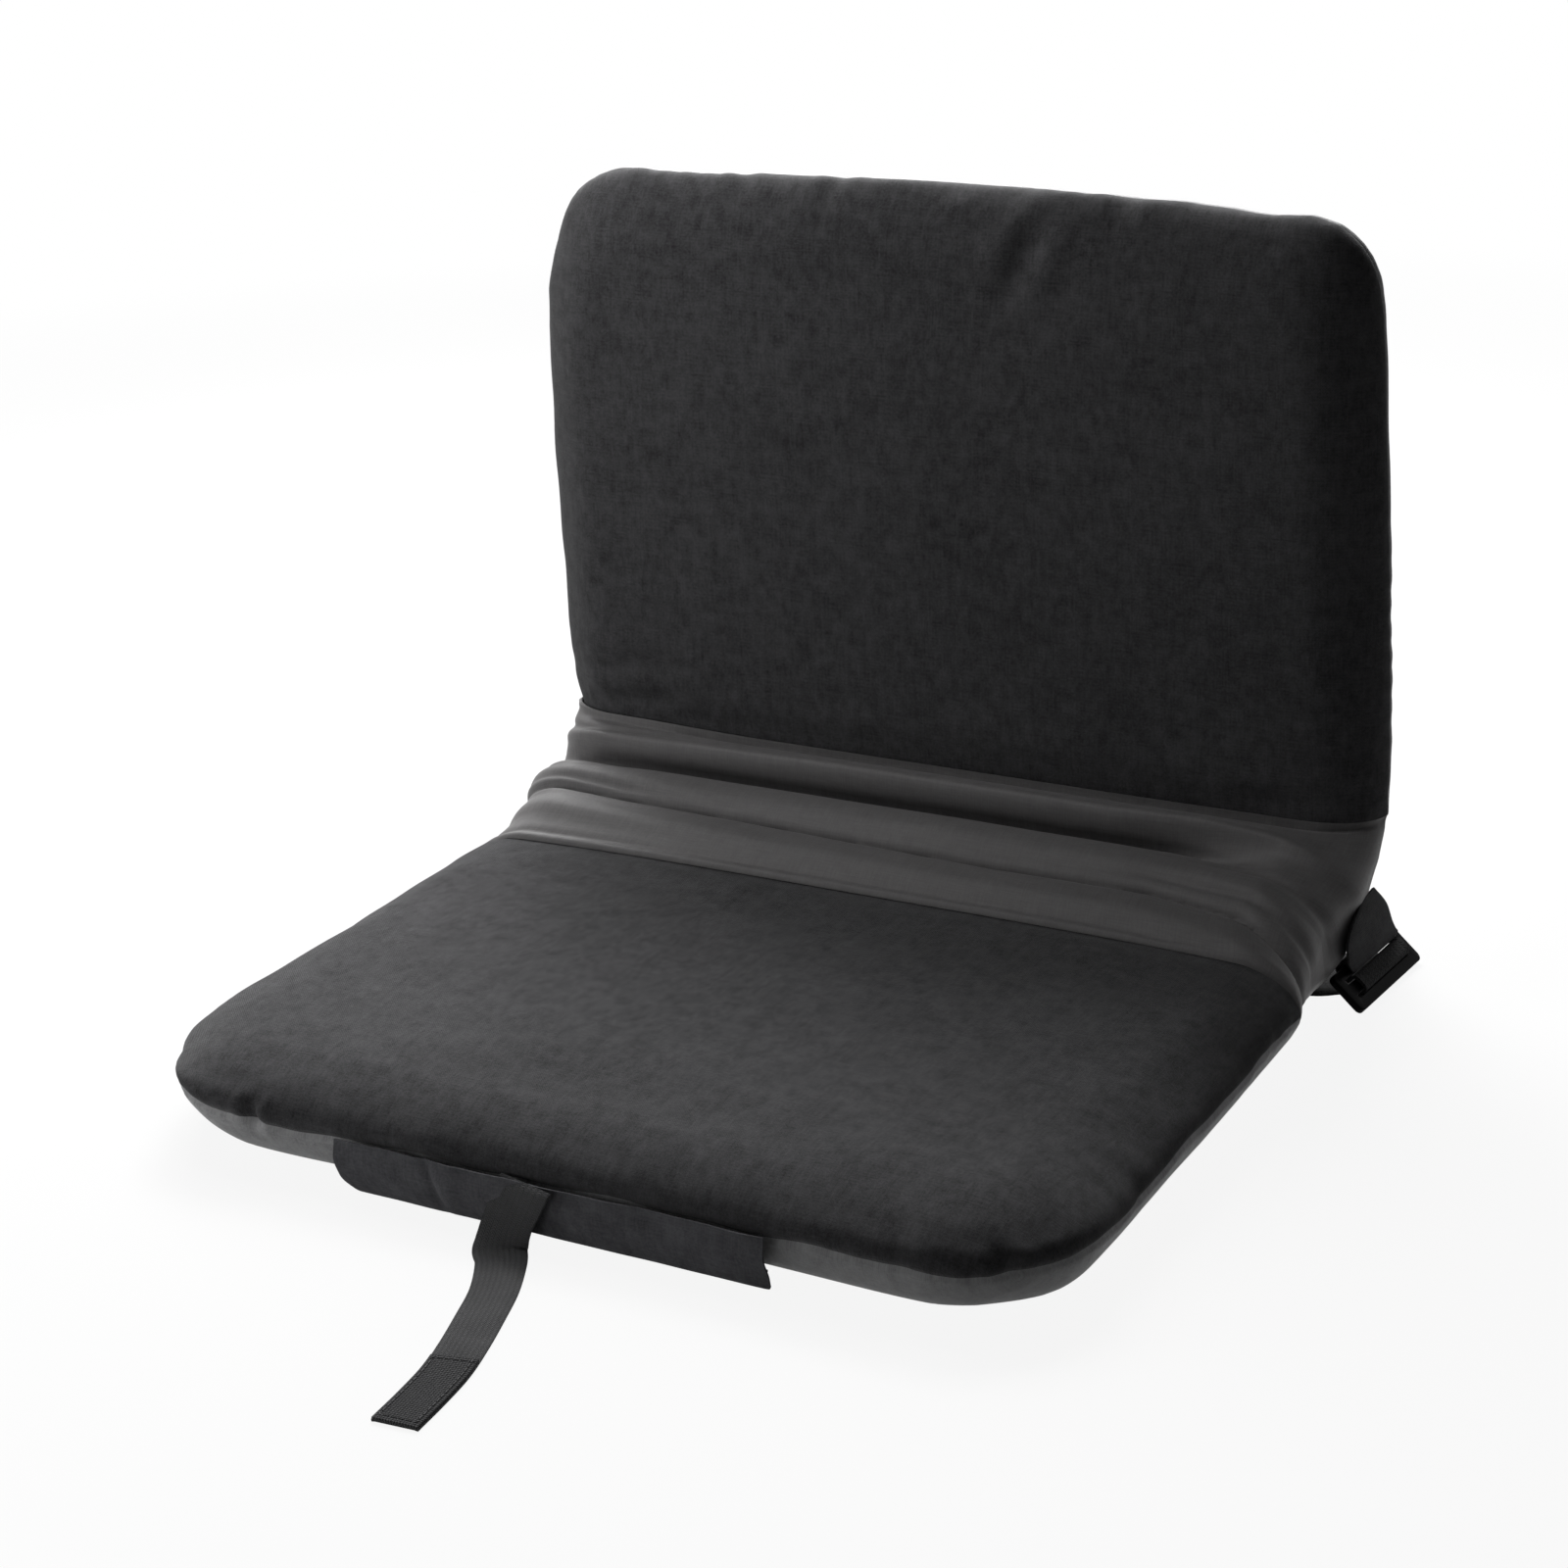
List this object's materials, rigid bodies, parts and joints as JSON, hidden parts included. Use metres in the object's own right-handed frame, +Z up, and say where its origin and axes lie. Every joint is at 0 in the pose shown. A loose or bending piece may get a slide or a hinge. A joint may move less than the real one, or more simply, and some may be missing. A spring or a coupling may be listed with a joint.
{
  "type": "folding stadium seat",
  "caption": "Padded seat and backrest halves joined by a hidden hinge inside a stretched fabric band; the back folds flat on the seat and a hook tape strap holds it shut.",
  "frame": {"origin": "on the seat's flat underside, mid-width, 175 mm behind the seat's front edge", "axes": "-Y towards the front, +Z up, +X to the right when facing the rear"},
  "size_m": [0.4407, 0.5484, 0.3531],
  "materials": {
    "cover_cloth": "matte fine plain weave with a faint sheen",
    "underside_cloth": "coated cloth with a low gloss",
    "pocket_cloth": "matte plain weave",
    "band_cloth": "thin satin cloth, slightly warm",
    "strap_webbing": "matte ribbed webbing",
    "hook_and_loop": "matte hook and loop pile",
    "buckle_plastic": "glossy moulded plastic",
    "frame_steel": "black powder coat",
    "hinge_steel": "zinc plated stamping",
    "fasteners": "zinc plated steel",
    "nylon": "natural nylon",
    "board": "thin plywood",
    "foam": "open-cell foam slab"
  },
  "bodies": {
    "seat": {"seat_frame_tube": "frame_steel", "seat_cross_tube": "frame_steel", "seat_board": "board", "seat_board_screws": "fasteners", "seat_foam": "foam", "seat_cover": "cover_cloth", "seat_underside": "underside_cloth", "front_pocket": "pocket_cloth", "closing_strap": "strap_webbing", "closing_strap_hook_tape": "hook_and_loop", "hinge_plate_seat_left": "hinge_steel", "hinge_plate_seat_right": "hinge_steel", "seat_plate_rivets": "fasteners", "pivot_rivets": "fasteners", "pivot_washers": "nylon", "stop_pins": "fasteners", "gusset_front": "band_cloth", "gusset_rear": "band_cloth"},
    "back": {"back_frame_tube": "frame_steel", "back_cross_tube": "frame_steel", "back_board": "board", "back_board_screws": "fasteners", "back_foam": "foam", "back_cover_front": "cover_cloth", "back_cover_rear": "cover_cloth", "hinge_plate_back_left": "hinge_steel", "hinge_plate_back_right": "hinge_steel", "back_plate_rivets": "fasteners", "back_loop_patch": "hook_and_loop", "buckle_tab": "band_cloth", "strap_buckle": "buckle_plastic", "carry_strap": "strap_webbing"}
  },
  "joints": [
    {"name": "back_fold", "type": "hinge", "parent": "seat", "child": "back", "pos_m": [0, 0.156, 0.022], "axis": [1, 0, 0], "range_deg": [0, 90], "deforming": ["gusset_front", "gusset_rear"]}
  ]
}
